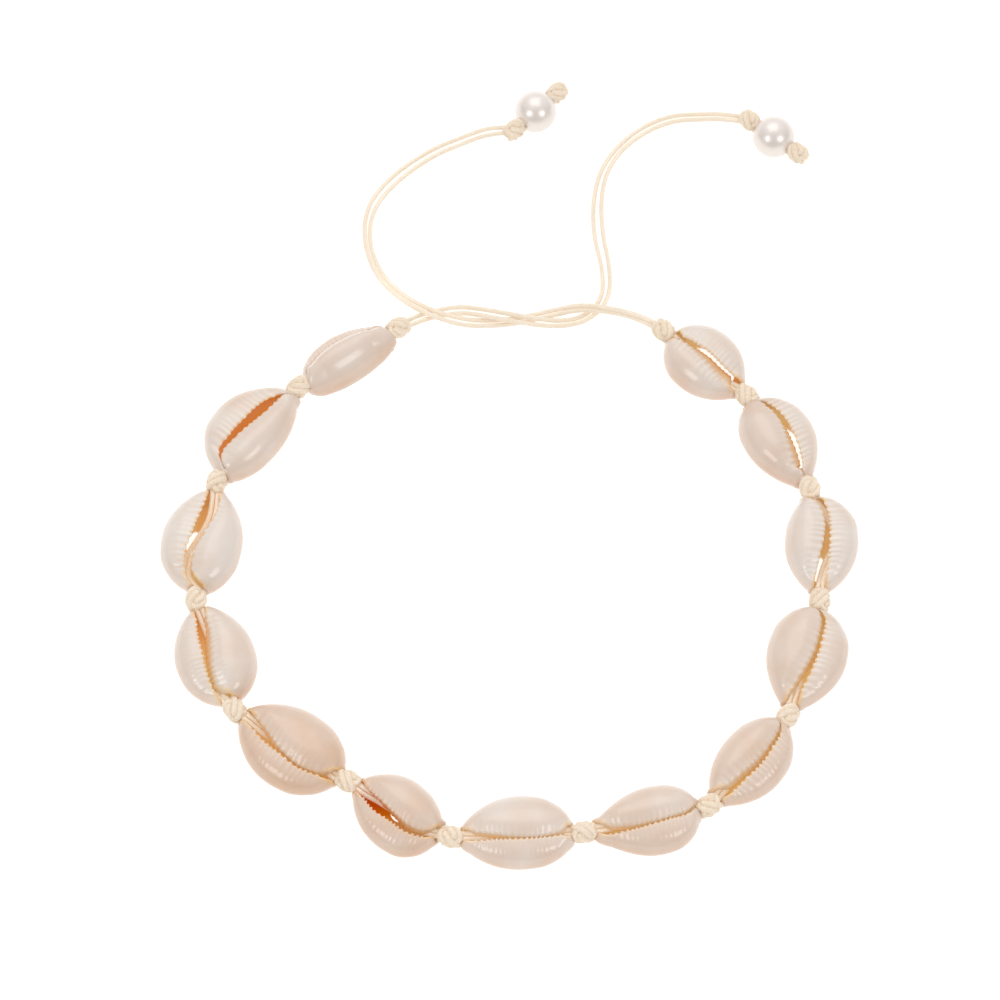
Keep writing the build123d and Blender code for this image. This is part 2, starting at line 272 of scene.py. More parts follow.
# Shape. sides: outer and inner share of the width. line, gap: the slot's middle and half
# gap at the stations. cover: how much of the gap the inner lip's wall fills near the
# start, in the middle and near the far end. out, in_: height of the outer and inner
# lip's ridges there. reach: how far the ridges run on both lips. teeth: their number.
# hole: the hole ground in the back, its middle and half length as shares of the length,
# its middle and half width across. roll: degrees by which the shell is rolled over.
# skew: above 1 the shell is widest further along. far: how far its far end lies inward.
# end: how far the end of the slot alone does. lid: 1 where the lips close over the cord,
# at the start and the far end. sway: how far the cord lies inward at the stations.
# Colour. warmth: from 0, pale, to 1, tan. glow: 0 for a cream hollow, 1 for an orange
# and 2 for a red one, given as cover is; it also picks the colour of the painted glow.
# stain: how deep the slot's colour is, both the hollow's own orange and the shade painted
# at its edges. lit: how strong the painted glow is there, an emission that stands in for
# light coming through the shell.
shell_rows = [
    shell_row(
        sides=(0.50, 0.22), line=(-1.0, -1.9, -2.2, -2.0, -1.0), gap=(0.0, -0.2, -0.2, -0.2, 0.0),
        cover=(1, 1, 1), out=(0.022, 0.022, 0.022), in_=(0.006, 0.006, 0.006), reach=(0.6, 0.5),
        teeth=17, hole=(0.5, 0.30, 1.0, 2.0), roll=36, lid=(1, 1),
        warmth=0.26, glow=(0.15, 0.15, 0.15), stain=0.15, lit=0.15,
    ),
    shell_row(
        sides=(0.66, 0.34), line=(-1.2, -1.9, -2.3, -2.7, -2.3), gap=(0.5, 0.95, 0.80, 0.58, 0.40),
        cover=(0, 0, 0), out=(0.038, 0.045, 0.03), in_=(0.012, 0.012, 0.012), reach=(3.0, 0.8),
        teeth=15, hole=(0.6, 0.24, 1.8, 1.7), lid=(1, 1), sway=(0.6, 0.8, 0.8, 0.6, 0.2),
        warmth=0.32, glow=(0.88, 0.88, 0.8),
    ),
    shell_row(
        sides=(0.59, 0.47), line=(0.1, -0.4, -1.4, -2.3, -1.7), gap=(1.3, 1.35, 1.05, 0.75, 0.7),
        cover=(0.1, 0.3, 0), out=(0.03, 0.038, 0.022), in_=(0.018, 0.012, 0.006), reach=(2.2, 1.1),
        teeth=15, hole=(0.50, 0.12, -2.6, 1.3), sway=(0.3, 0.3, -1.2, -2.9, -2.7),
        warmth=0.12, glow=(0.45, 0.25, 0.1),
    ),
    shell_row(
        sides=(0.53, 0.50), line=(-0.3, -0.8, -1.4, -2.1, -1.8), gap=(0.9, 1.15, 0.90, 0.60, 0.6),
        cover=(0.3, 0.8, 0.95), out=(0.022, 0.015, 0.015), in_=(0.018, 0.018, 0.012),
        reach=(0.8, 2.0), teeth=17, hole=(0.6, 0.01, 0.2, 0.2), end=-0.8,
        sway=(0.1, 0.2, 0.5, -1.0, -2.2), warmth=0.25, glow=(0.6, 0.15, 0.0),
    ),
    shell_row(
        sides=(0.57, 0.50), line=(-0.6, -1.9, -2.9, -3.3, -2.0), gap=(0.9, 0.85, 0.35, 0.25, 0.3),
        cover=(0.1, 0.9, 0.9), out=(0.022, 0.03, 0.022), in_=(0.018, 0.024, 0.018),
        reach=(1.7, 2.0), teeth=16, hole=NO_HOLE, end=-0.7, sway=(-0.2, -0.7, 0.0, 0.0, -0.4),
        warmth=0.72, glow=(0.3, 0.3, 0.3),
    ),
    shell_row(
        sides=(0.53, 0.43), line=(-0.9, -2.0, -2.7, -3.2, -2.2), gap=(0.9, 1.10, 0.80, 0.65, 0.6),
        cover=(0, 0.1, 0.3), out=(0.015, 0.015, 0.007), in_=(0.012, 0.012, 0.006),
        reach=(0.8, 1.7), teeth=17, hole=(0.52, 0.10, -0.4, 1.4), far=-1.0, end=-0.6,
        sway=(-0.3, -0.2, -0.6, -1.5, -1.1), warmth=0.52, glow=(1.8, 0.75, 0.3), lit=0.75,
    ),
    shell_row(
        sides=(0.44, 0.51), line=(-0.7, -1.2, -1.6, -1.6, -0.7), gap=(0.75, 0.48, 0.22, 0.14, 0.3),
        cover=(0.2, 1, 1), out=(0.022, 0.022, 0.022), in_=(0.018, 0.009, 0.006), reach=(0.8, 1.8),
        teeth=19, hole=NO_HOLE, warmth=0.24, glow=(0, 0, 0), stain=0.5, lit=1.4,
    ),
    shell_row(
        sides=(0.48, 0.41), line=(-1.1, -1.8, -1.9, -1.6, -0.9), gap=(0.75, 0.42, 0.27, 0.20, 0.3),
        cover=(0.4, 1, 1), out=(0.022, 0.022, 0.022), in_=(0.024, 0.006, 0.006), reach=(1.1, 1.8),
        teeth=18, hole=NO_HOLE, skew=1.2, lid=(0, 0.7),
        warmth=0.42, glow=(0, 0, 0), stain=0.55, lit=1.4,
    ),
    shell_row(
        sides=(0.47, 0.39), line=(-1.0, -1.6, -2.1, -1.8, -1.0), gap=(0.8, 0.64, 0.52, 0.42, 0.35),
        cover=(0.5, 0.9, 0.9), out=(0.045, 0.045, 0.036), in_=(0.03, 0.012, 0.008),
        reach=(1.8, 1.5), teeth=15, hole=NO_HOLE, lid=(0, 0.9),
        warmth=0.50, glow=(0.1, 0.1, 0), stain=0.75, lit=1.2,
    ),
    shell_row(
        sides=(0.54, 0.49), line=(-0.3, -1.1, -1.8, -1.9, -1.3), gap=(0.8, 0.68, 0.5, 0.42, 0.45),
        cover=(0.3, 0.9, 0.9), out=(0.055, 0.062, 0.038), in_=(0.018, 0.028, 0.02),
        reach=(1.9, 1.5), teeth=14, hole=NO_HOLE, skew=1.1, lid=(0, 0.8),
        warmth=0.34, glow=(0.15, 0.2, 0.1),
    ),
    shell_row(
        sides=(0.56, 0.40), line=(-0.4, -1.2, -2.0, -2.3, -1.4), gap=(0.95, 0.85, 0.58, 0.45, 0.6),
        cover=(0, 0.2, 0.3), out=(0.052, 0.062, 0.055), in_=(0.05, 0.06, 0.05), reach=(2.3, 2.3),
        teeth=15, hole=(0.27, 0.15, -0.6, 1.4), far=-0.8, sway=(-0.7, -1.9, -4.2, -3.9, -1.5),
        warmth=0.15, glow=(0.2, 0.25, 0.2), lit=0.85,
    ),
    shell_row(
        sides=(0.55, 0.42), line=(0.1, -0.7, -1.6, -2.0, -1.2), gap=(0.9, 1.00, 0.80, 0.55, 0.4),
        cover=(1.0, 1.0, 1.0), out=(0.046, 0.056, 0.05), in_=(0.02, 0.018, 0.018),
        reach=(2.4, 0.8), teeth=15, hole=(0.42, 0.26, -2.8, 1.9), roll=8, skew=1.1, lid=(1, 1),
        sway=(0.8, 1.0, 1.0, 0.8, 0.3), warmth=0.30, glow=(0.35, 0.3, 0), stain=0.9, lit=0.85,
    ),
    shell_row(
        sides=(0.50, 0.46), line=(0.3, 0.4, 0.0, -0.1, 0.0), gap=(1.0, 1.05, 0.92, 0.65, 0.4),
        cover=(1.1, 1.15, 1.15), out=(0.015, 0.015, 0.015), in_=(0.012, 0.024, 0.024),
        reach=(0.7, 2.5), teeth=15, hole=(0.45, 0.30, -1.8, 2.2), sway=(0.4, 1.2, 1.6, 0.9, 0.0),
        warmth=0.24, glow=(0.65, 0.45, 0.1), lit=0.85,
    ),
]
oval_rows = np.array([
    # share of the length, of the width, of the half height
    (0.00, 0.20, 0.42), (0.02, 0.31, 0.50), (0.05, 0.41, 0.58), (0.10, 0.55, 0.69),
    (0.16, 0.68, 0.79), (0.25, 0.83, 0.88), (0.35, 0.94, 0.95), (0.46, 1.00, 0.99),
    (0.60, 1.00, 1.00), (0.75, 0.92, 0.94), (0.85, 0.77, 0.85), (0.92, 0.61, 0.75),
    (0.97, 0.43, 0.62), (1.00, 0.27, 0.50),
])


def smooth_row(x, y, share):
    """Smooth curve through the points of a table."""
    slope = np.gradient(y, x)
    i = int(np.clip(np.searchsorted(x, share, side="right") - 1, 0, len(x) - 2))
    step = x[i + 1] - x[i]
    t = (share - x[i]) / step
    rise = y[i] * (1 + 2 * t) * (1 - t) ** 2 + slope[i] * step * t * (1 - t) ** 2
    return float(rise + y[i + 1] * t * t * (3 - 2 * t) + slope[i + 1] * step * t * t * (t - 1))


def step01(value, low, high):
    """0 up to low, 1 from high on, and a soft step between them."""
    t = np.clip((value - low) / (high - low), 0, 1)
    return t * t * (3 - 2 * t)


def by_three(share, three):
    """A value given near the start, in the middle and near the far end."""
    return float(np.interp(share, (0.24, 0.52, 0.78), three))


print("width at a quarter", round(smooth_row(oval_rows[:, 0], oval_rows[:, 1], 0.25), 3))

# %% [markdown]
# One station of the ring is a closed section. It starts at the widest point, goes over
# the top to the toothed edge, down the wall of the slot, up under the lip, down the
# hollow, across the ground back to its hole and up the outside. Teeth are low ridges
# across the lip whose tips stand out into the slot. The inner lip rolls on down into
# the slot, and that warm band is what shows behind the teeth of the outer one.

# %% Teeth and slot
TOOTH_SIZES = 24  # uneven sizes, taken in turn
TEETH_START, TEETH_SPAN = 0.09, 0.84  # where the teeth begin, and over what share
INNER_TEETH = 0.9  # how many the inner lip has for each one of the outer
UNEVEN, UNEVEN_TURN = 0.22, 18  # how far their spacing drifts, and how often
CREST_POWER = 1.4  # above 1 a crest is narrower than the groove beside it
rng = np.random.default_rng(11)
for row in shell_rows:
    row["sizes"] = rng.uniform(0.6, 1.15, (2, TOOTH_SIZES))
    row["phase"] = rng.uniform(0, 6.28, 2)


def between_ends(share, rise, fall):
    """0 along the first canal, 1 between the two, and 0 again along the last."""
    return float(step01(share, *rise) * (1 - step01(share, *fall)))


def lid_at(share, row):
    """How far the lips close over the cord at the nearer end."""
    return row["lid"][0 if share < 0.5 else 1]


def slot_line(share, row):
    """Middle of the slot, its half gap, and 0 in the canals to 1 along the teeth."""
    at = np.array([0.0, *STATIONS, 1.0])
    middle = smooth_row(at, np.array([0.0, *row["line"], row["end"]]), share)
    open_ = smooth_row(at, np.array([row["gap"][0], *row["gap"], row["gap"][-1]]), share)
    ends = between_ends(share, (0.05, 0.17), (0.85, 0.97))
    canal = CANAL + (SHUT - CANAL) * lid_at(share, row)
    return middle, canal + (open_ - canal) * ends, ends


def tooth_at(share, side, row):
    """1 on the crest of a big tooth, 0 between teeth, none along the canals."""
    which = 0 if side < 0 else 1
    turns = (share - TEETH_START) / TEETH_SPAN * row["teeth"] * (1 if side < 0 else INNER_TEETH)
    turns += UNEVEN * math.sin(UNEVEN_TURN * share + row["phase"][which])
    crest = (0.5 + 0.5 * math.cos(2 * math.pi * turns)) ** CREST_POWER
    size = row["sizes"][which][int(round(turns)) % TOOTH_SIZES]
    return size * crest * between_ends(share, (0.08, 0.15), (0.87, 0.94))


def floor_z(y, roll):
    """Height of the surface under the shell, in the shell's own rolled frame."""
    return (-STRING_Z - y * math.sin(roll)) / math.cos(roll)


def oval_foot(width, half, roll, side):
    """Angle below the widest point at which the oval meets the surface."""
    low, high = 0.0, math.pi / 2
    for _ in range(24):
        middle = (low + high) / 2
        y, z = side * width * math.cos(middle), -DROP - half * math.sin(middle)
        low, high = (middle, high) if z > floor_z(y, roll) else (low, middle)
    return low


print("slot of the third shell at its middle", slot_line(0.5, shell_rows[2]))

# %% [markdown]
# The same oval gives the top, the outside and the place where the shell is ground flat.
# Near the slot the top sinks a little, and the ridges stand on it.

# %% Section of a lip
LIP_SAMPLES, CAP_SAMPLES = 114, 13  # sections along each lip and across each end
# Where the points of the top lie, from 1 at the widest point to 0 at the toothed edge.
TOP = np.array([
    1, 0.985, 0.95, 0.90, 0.84, 0.77, 0.70, 0.62, 0.54, 0.47, 0.40, 0.34, 0.285, 0.235,
    0.19, 0.15, 0.115, 0.085, 0.06, 0.04, 0.025, 0.012, 0.004, 0,
])
WALL_STEPS, HOLLOW_STEPS, SIDE_STEPS = 6, 8, 8
AROUND = len(TOP) + WALL_STEPS + HOLLOW_STEPS + SIDE_STEPS
BACK = 0.95  # thickness of the ground back
OVAL_POWER = 2.2  # 2 is an ellipse, above it the top is fuller
OUTER, INNER = -1, 1  # the two lips, as sides of the slot
LIP_SINK = {OUTER: (0.70, 2.1), INNER: (0.75, 1.6)}  # depth at the slot, and reach
TOOTH_OUT = {OUTER: 0.30, INNER: 0.15}  # how far a tooth's tip stands into the slot
EDGE_SINK = (0.26, 0.20)  # the rounding of the toothed edge: depth and reach
OUTER_WALL = ((0.03, 0.18), (0.10, 0.42), (0.22, 0.70), (0.45, 0.95), (0.80, 1.12), (1.2, 1.2))
INNER_WALL = ((0.30, 0.22), (0.62, 0.48), (0.88, 0.74), (1.0, 0.94))
INNER_DEPTH = 2.5  # how deep the inner lip rolls into the slot
ABOVE_STRING = 0.62  # but not below this, clear of the strands
# Painted shade: tan in the grooves between the teeth and along the canals, and at the top of the
# slot's wall, which turns to the hollow's own orange further down.
GROOVE_SHADE = {OUTER: 0.4, INNER: 0.15}  # of the grooves between teeth
CANAL_SHADE = 0.45
WALL_WARMTH = {
    OUTER: [0.3, 0.55, 0.8, 1.0, 1.0, 1.0],
    INNER: [0.25, 0.35, 0.45, 0.6, 0.85, 1.0],
}


def bell(away, reach):
    """1 at no distance, falling softly to 0 within about twice the reach."""
    return np.exp(-((away / reach) ** 2))


def oval_sizes(share, row):
    """Half height, and the width on the outer and the inner side."""
    half = HALF_HEIGHT * smooth_row(oval_rows[:, 0], oval_rows[:, 2], share)
    skewed = share ** row["skew"]
    wide = SHELL_WIDTH * smooth_row(oval_rows[:, 0], oval_rows[:, 1], skewed)
    shift = row["far"] * float(step01(share, 0.3, 1.0))
    outer, inner = row["sides"][0] * wide - shift, row["sides"][1] * wide + shift
    # Near the ends each lip stays wide enough for the strands under it.
    return half, {OUTER: max(outer, half * 1.02), INNER: max(inner, 1.35 + 0.3 * half)}


def slot_wall(side, edge, lip, half_gap, ends, cover):
    """Points from the toothed edge down the wall of the slot and under the lip."""
    if side == OUTER:
        return [(edge - out, lip - down) for out, down in OUTER_WALL]
    deep = max(lip - INNER_DEPTH, ABOVE_STRING) if ends > 0.02 else lip - 0.9
    lean, drop = cover * 2 * half_gap, lip - deep
    wall = [(edge - lean * over + 0.02, lip - down * drop) for over, down in INNER_WALL]
    return wall + [(edge - lean * 0.8 + 0.40, deep), (edge - lean * 0.2 + 0.90, deep + 0.15)]


def hollow_points(side, start, width, rim_y, shelf_y, roll, lift):
    """Points under the lip, down the hollow and along the ground back to its hole."""
    wall_y = rim_y - side * WALL
    if (wall_y - start[0]) * side < 0.2:  # the wall stays outside the lip's end
        wall_y = min(abs(start[0]) + 0.2, abs(rim_y) - 0.3) * side
    if (wall_y - shelf_y) * side < 0.1:  # and the hole stays inside the wall
        shelf_y = wall_y - side * 0.1
    corner = np.array([wall_y, floor_z(wall_y, roll) + lift + BACK + 0.5])
    high_y = min(max(width - WALL, abs(start[0]) + 0.3), width - 0.4)
    high = np.array([side * high_y, max(start[1] - 0.2, 0.4)])
    points = []
    for t in (0.2, 0.4, 0.6, 0.8, 1.0):
        points.append(tuple((1 - t) ** 2 * start + 2 * t * (1 - t) * high + t * t * corner))
    inner_y = wall_y - side * min(0.6, abs(wall_y - shelf_y) * 0.5)
    points.append((inner_y, floor_z(inner_y, roll) + lift + BACK))
    shelf_z = floor_z(shelf_y, roll) + lift
    points.append((shelf_y, shelf_z + BACK * 0.9))
    points.append((shelf_y, shelf_z))
    return points


def lip_section(share, side, row):
    """One section: its points, the height of the ridges and the warmth at each."""
    roll = math.radians(row["roll"])
    half, widths = oval_sizes(share, row)
    width = widths[side]
    middle, half_gap, ends = slot_line(share, row)
    tooth = tooth_at(share, side, row)
    height = by_three(share, row["out"] if side == OUTER else row["in_"])
    reach = row["reach"][0 if side == OUTER else 1]
    edge = middle + side * (half_gap + 0.10 * ends - TOOTH_OUT[side] * tooth)

    y = edge + (side * width - edge) * TOP
    wide_here = np.where(y < 0, widths[OUTER], widths[INNER])
    z = -DROP + half * np.clip(1 - np.abs(y / wide_here) ** OVAL_POWER, 0, 1) ** 0.5
    away = np.abs(y - edge)
    sink, over = LIP_SINK[side]
    z = z - ends * sink * bell(away, over)
    ridge = tooth * bell(away, reach)
    z = z + height * ridge
    z = z - EDGE_SINK[0] * bell(away, EDGE_SINK[1]) * (1 - 0.5 * tooth)

    wall = slot_wall(side, edge, z[-1], half_gap, ends, by_three(share, row["cover"]) * ends)
    foot = oval_foot(width, half, roll, side)
    rim_y, rim_z = side * width * math.cos(foot), -DROP - half * math.sin(foot)
    at, half_long, hole_y, half_wide = row["hole"]
    narrow = smooth_row(oval_rows[:, 0], oval_rows[:, 1], share)
    round_ = math.sqrt(max(0.0, 1 - ((share - at) / half_long) ** 2))
    shelf_y = hole_y * narrow + side * half_wide * round_
    lift = max(0.0, rim_z - floor_z(rim_y, roll))
    hollow = hollow_points(side, np.array(wall[-1]), width, rim_y, shelf_y, roll, lift)
    outside = [(rim_y, rim_z)]
    for t in np.linspace(1, 0, SIDE_STEPS + 1)[1:-1]:
        angle = foot * t
        outside.append((side * width * math.cos(angle), -DROP - half * math.sin(angle)))

    # Tan painted as shade in the grooves between the teeth and along the canals.
    grooves = GROOVE_SHADE[side] * (1 - min(1, tooth)) * ends * bell(away, 0.35)
    canal = CANAL_SHADE * (1 - ends) * (1 - lid_at(share, row)) * bell(away, 0.5)
    warm = list(grooves + canal)
    warm += [w * max(ends, 0.55) for w in WALL_WARMTH[side]]
    warm += [max(ends, 0.7)] * (HOLLOW_STEPS - 1) + [0.2] + [0.0] * SIDE_STEPS
    ridges = list(ridge * height / 0.10) + [0.0] * (AROUND - len(TOP))
    return [*zip(y, z), *wall, *hollow, *outside], ridges, warm


print("points in a section", AROUND, len(lip_section(0.5, INNER, shell_rows[2])[0]))

# %% [markdown]
# At both ends the lips draw together and leave a canal for the cord. The sections turn
# the corner there, and the wall under the cord stays low, so that both strands lie in
# a notch between the two beaks of the shell.

# %% One whole shell
def ring_rows():
    """Stations round the ring: share of the length, side, and how far across an end."""
    even = np.linspace(0, 1, LIP_SAMPLES)
    shares = 0.9 * even + 0.1 * (1 - np.cos(even * math.pi)) / 2
    across = np.linspace(0, 1, CAP_SAMPLES + 2)[1:-1]
    rows = [(float(share), OUTER, 0.0) for share in shares]
    rows += [(1.0, 0, float(cap)) for cap in across]
    rows += [(float(share), INNER, 0.0) for share in shares[::-1]]
    rows += [(0.0, 0, float(cap)) for cap in across[::-1]]
    return rows


# 0 on the outside of a section, 1 at the slot.
INWARD = np.concatenate([
    1 - TOP, np.ones(WALL_STEPS), np.linspace(1, 0.75, HOLLOW_STEPS), np.zeros(SIDE_STEPS)
])
END_LEAN = 0.55  # how far the end of the slot lies inside the end of the shell
END_BULGE = 0.4  # how far a beak stands out beyond it
NOTCH_Z, NOTCH_FALL = -0.62, 0.25  # height of the notch under the strands, and its slope
NOTCH_POINTS = len(TOP) + 4


def shell_points(length, row):
    """Points, ridge heights and warmth marks of the whole ring."""
    sides = [(end, side) for end in (0.0, 1.0) for side in (OUTER, INNER)]
    ends = {(end, side): lip_section(end, side, row) for end, side in sides}
    points, ridges, warms = [], [], []
    for share, side, cap in ring_rows():
        if side:
            section, ridge, warm = lip_section(share, side, row)
            near = max(0.0, 1 - min(share, 1 - share) / 0.10) ** 2
            shift = END_LEAN * near * (1 if share < 0.5 else -1)
            for k, (y, z) in enumerate(section):
                points.append((share * length + shift * INWARD[k], y, z))
        else:
            outer, ridge, warm = ends[(share, OUTER)]
            inner = ends[(share, INNER)][0]
            sign = 1 if share else -1
            edge = abs(2 * cap - 1)
            notch = 1 - float(step01(edge, 0.5, 0.98))
            notch *= 1 - lid_at(share, row)
            # Tan painted as shade in the notch under the strands.
            warm = [max(w, CANAL_SHADE * notch * deep) for w, deep in zip(warm, INWARD)]
            for k in range(AROUND):
                y = outer[k][0] + (inner[k][0] - outer[k][0]) * cap
                z = outer[k][1] + (inner[k][1] - outer[k][1]) * cap
                if k < NOTCH_POINTS:
                    low = NOTCH_Z - NOTCH_FALL * INWARD[k]
                    z = z + (min(z, low) - z) * notch
                bulge = END_BULGE * math.sqrt(max(0.0, 1 - edge**2)) * (1 - INWARD[k])
                points.append((share * length - sign * END_LEAN * INWARD[k] + sign * bulge, y, z))
        ridges += ridge
        warms += warm
    return np.array(points), ridges, warms


def build_shell(name, start, run, length, row):
    """A torus whose points are moved to the sections, with marks for the colours."""
    points, ridges, warms = shell_points(length, row)
    deselect()
    bpy.ops.mesh.primitive_torus_add(
        major_segments=len(ring_rows()), minor_segments=AROUND,
        major_radius=0.008, minor_radius=0.003,
    )
    piece = bpy.context.object
    piece.name = name
    roll = math.radians(row["roll"])
    y = points[:, 1:2] * math.cos(roll) - points[:, 2:3] * math.sin(roll)
    z = points[:, 1:2] * math.sin(roll) + points[:, 2:3] * math.cos(roll)
    left = np.array([-run[1], run[0]])
    across = start + points[:, :1] * run + y * left
    place = np.hstack([across, np.maximum(z + STRING_Z, 0.0)]) * MM
    mesh = piece.data
    mesh.vertices.foreach_set("co", place.ravel())
    # lit marks where the painted glow shows, an emission that stands in for light through the
    # shell.
    marks_by_name = {
        "ridge": ridges,
        "warm": np.array(warms) * row["stain"],
        "lit": np.array(warms) * row["lit"],
        "warmth": [row["warmth"]] * len(warms),
        "glow": [by_three(x / length, row["glow"]) for x in points[:, 0]],
    }
    for label, values in marks_by_name.items():
        marks = mesh.attributes.new(label, "FLOAT", "POINT")
        marks.data.foreach_set("value", np.array(values, dtype=np.float32))
    mesh.update()
    bpy.ops.object.mode_set(mode="EDIT")
    bpy.ops.mesh.select_all(action="SELECT")
    bpy.ops.mesh.normals_make_consistent(inside=False)
    bpy.ops.object.mode_set(mode="OBJECT")
    bpy.ops.object.shade_smooth()
    return piece


knots_at = np.array(knot_xy)
shells = []
for number, row in enumerate(shell_rows):
    first, last = knots_at[number], knots_at[number + 1]
    span = float(np.linalg.norm(last - first))
    run = (last - first) / span
    shell = build_shell(
        f"cowrie_{number + 1:02}", first + run * END_MARGIN, run, span - 2 * END_MARGIN, row
    )
    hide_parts(f"shell_{number + 1:02}")
    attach(shell, "root")
    shells.append(shell)
print("shells", len(shells), "with", len(shells[0].data.polygons), "faces each")

# %% [markdown]
# Both strands of the string run through every shell, side by side. They come in through
# the notch, lie in the hollow under the inner lip and go out at the far notch. In some
# shells they swing across and can be seen in the slot, and that swing is listed for each shell.

# %% The string inside the shells
PITCH = 1.0  # between the middles of the two strands
AT_END = 0.8  # how far the strands follow the slot's end where it lies aside


def string_route(side):
    """Points of one strand from the first knot to the last."""
    route = []
    for number, row in enumerate(shell_rows):
        first, last = knots_at[number], knots_at[number + 1]
        run = (last - first) / np.linalg.norm(last - first)
        left = np.array([-run[1], run[0]])
        length = float(np.linalg.norm(last - first)) - 2 * END_MARGIN
        stops = [(-END_MARGIN, 0.0), (0.0, 0.0)]
        stops += [(share * length, sway) for share, sway in zip(STATIONS, row["sway"])]
        stops += [(length, AT_END * row["end"])]
        for along, sway in stops:
            x, y = first + run * (along + END_MARGIN) + left * (sway + side * PITCH / 2)
            route.append((x, y, STRING_Z))
    x, y = knots_at[-1] + left * (side * PITCH / 2)
    return [*route, (x, y, STRING_Z)]


strings = []
for name, side in (("string_outer", -1), ("string_inner", 1)):
    strand = cord_curve(name.replace("string_", "cord_string_"), string_route(side))
    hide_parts(name)
    strings.append(strand)
print("string strands with", len(string_route(1)), "points each")

# %% [markdown]
# The knots are overhand knots in the doubled cord, pulled tight. An overhand knot is
# a trefoil: its path goes twice round the middle and in and out three times, so one
# pass crosses over the other. Both strands follow that path side by side. The knot is
# drawn once as two closed curves, turned into a mesh, and copied to every place.

# %% The overhand knot
KNOT_RADIUS, KNOT_SWING, KNOT_REACH = 1.06, 0.34, 1.32
KNOT_STRAND = 0.57  # radius of a strand, over the cord's own so that no gaps show
PEARL_RADIUS = 4.0


def knot_path(offset, steps=72):
    """Closed path of one strand round the X axis, beside the middle of the pair."""
    turn = np.linspace(0, 4 * math.pi, steps, endpoint=False)
    r = KNOT_RADIUS + KNOT_SWING * np.cos(1.5 * turn)
    along = KNOT_REACH * np.sin(1.5 * turn)
    path = np.column_stack([along, r * np.cos(turn), r * np.sin(turn)])
    ahead = np.roll(path, -1, axis=0) - np.roll(path, 1, axis=0)
    outward = np.column_stack([0.25 * path[:, 0], path[:, 1], path[:, 2]])
    beside = np.cross(ahead, outward)
    beside /= np.linalg.norm(beside, axis=1)[:, None]
    return path + beside * offset


def make_knot_model():
    """Both strands of the knot as one mesh, about the middle of the scene."""
    curve = bpy.data.curves.new("overhand_model", "CURVE")
    curve.dimensions = "3D"
    for offset in (-0.5, 0.5):
        path = knot_path(offset)
        spline = curve.splines.new("NURBS")
        spline.points.add(len(path) - 1)
        for at, spot in zip(spline.points, path):
            at.co = (*(spot * MM), 1)
        spline.order_u = 4
        spline.use_cyclic_u = True
    curve.resolution_u = 2
    curve.bevel_depth = KNOT_STRAND * MM
    curve.bevel_resolution = 3
    model = bpy.data.objects.new("overhand_model", curve)
    bpy.context.collection.objects.link(model)
    deselect()
    model.select_set(True)
    bpy.context.view_layer.objects.active = model
    bpy.ops.object.convert(target="MESH")
    bpy.ops.object.shade_smooth()
    return bpy.context.object


def place_knot(name, middle, heading, turned, size=1.0):
    """Copy the knot, turn it about its own axis, and set it in its place."""
    mesh = knot_model.data.copy()
    made = bpy.data.objects.new(name, mesh)
    bpy.context.collection.objects.link(made)
    spot = Matrix.Translation([c * MM for c in middle])
    way = Matrix.Rotation(heading, 4, "Z") @ Matrix.Rotation(turned, 4, "X")
    mesh.transform(spot @ way @ Matrix.Scale(size, 4))
    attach(made, "root")
    return made


knot_model = make_knot_model()
runs = knots_at[1:] - knots_at[:-1]
runs = runs / np.linalg.norm(runs, axis=1)[:, None]
knots = []
for number, (x, y) in enumerate(knot_xy):
    way = runs[max(number - 1, 0)] + runs[min(number, len(runs) - 1)]
    heading = math.atan2(way[1], way[0])
    # Each is turned a little further, so that no two neighbours look the same.
    made = place_knot(f"overhand_{number + 1:02}", (x, y, STRING_Z), heading, 0.8 * number)
    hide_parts(f"knot_{number + 1:02}")
    knots.append(made)
pearl_rows = {
    # middle of the near knot, and the way to the far one in degrees
    "pearl_left": (1.0, 95.0, 45),
    "pearl_right": (46.5, 97.1, -39),
}
KNOT_STEP = PEARL_RADIUS + 0.1 + 1.7  # a small gap, and half the length of a knot
for name, (x, y, degrees) in pearl_rows.items():
    heading = math.radians(degrees)
    axis = np.array([math.cos(heading), math.sin(heading), 0.0])
    for label, steps in (("near", 0), ("far", 2)):
        middle = np.array([x, y, PEARL_RADIUS]) + axis * KNOT_STEP * steps
        made = place_knot(f"{name}_overhand_{label}", middle, heading, 0.7 + steps, 0.95)
        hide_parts(f"{name}_knot_{label}")
        knots.append(made)
bpy.data.objects.remove(knot_model)
print("knots", len(knots))

# %% [markdown]
# Polished cowrie is glazed by the animal itself: a hard cream enamel, whiter on the teeth,
# and orange in the hollow. Tan painted low on the sides is shade near the ground, tan
# in the grooves and canals is painted shade, and an orange painted glow stands in for light
# through the thin shell. The colour is mixed from the marks that the sections left on the
# mesh, so that it follows the lips and teeth.

# %% Cowrie enamel
BLEND = {"data_type": "RGBA"}
SMOOTH = {"interpolation_type": "SMOOTHSTEP"}
# LIP_CREAM is the tan of the shade painted at the slot's edges.
PALE, TAN, TOOTH_WHITE, LIP_CREAM = "#DED3CA", "#D2AE92", "#EFE8E0", "#DDBA88"
CREAM_HOLLOW, ORANGE_HOLLOW, RED_HOLLOW = "#E8DEC0", "#C88410", "#B8440A"
# Colours of the painted glow, an emission that stands in for light through the shell.
CREAM_LIGHT, ORANGE_LIGHT, RED_LIGHT = "#CBAD74", "#D87C0C", "#D84804"
CLOUDS = 130.0  # 1 / 130 m: clouds of colour about 8 mm across
GRAIN = 900.0  # 1 mm waves, coarser than the real growth lines so that they show
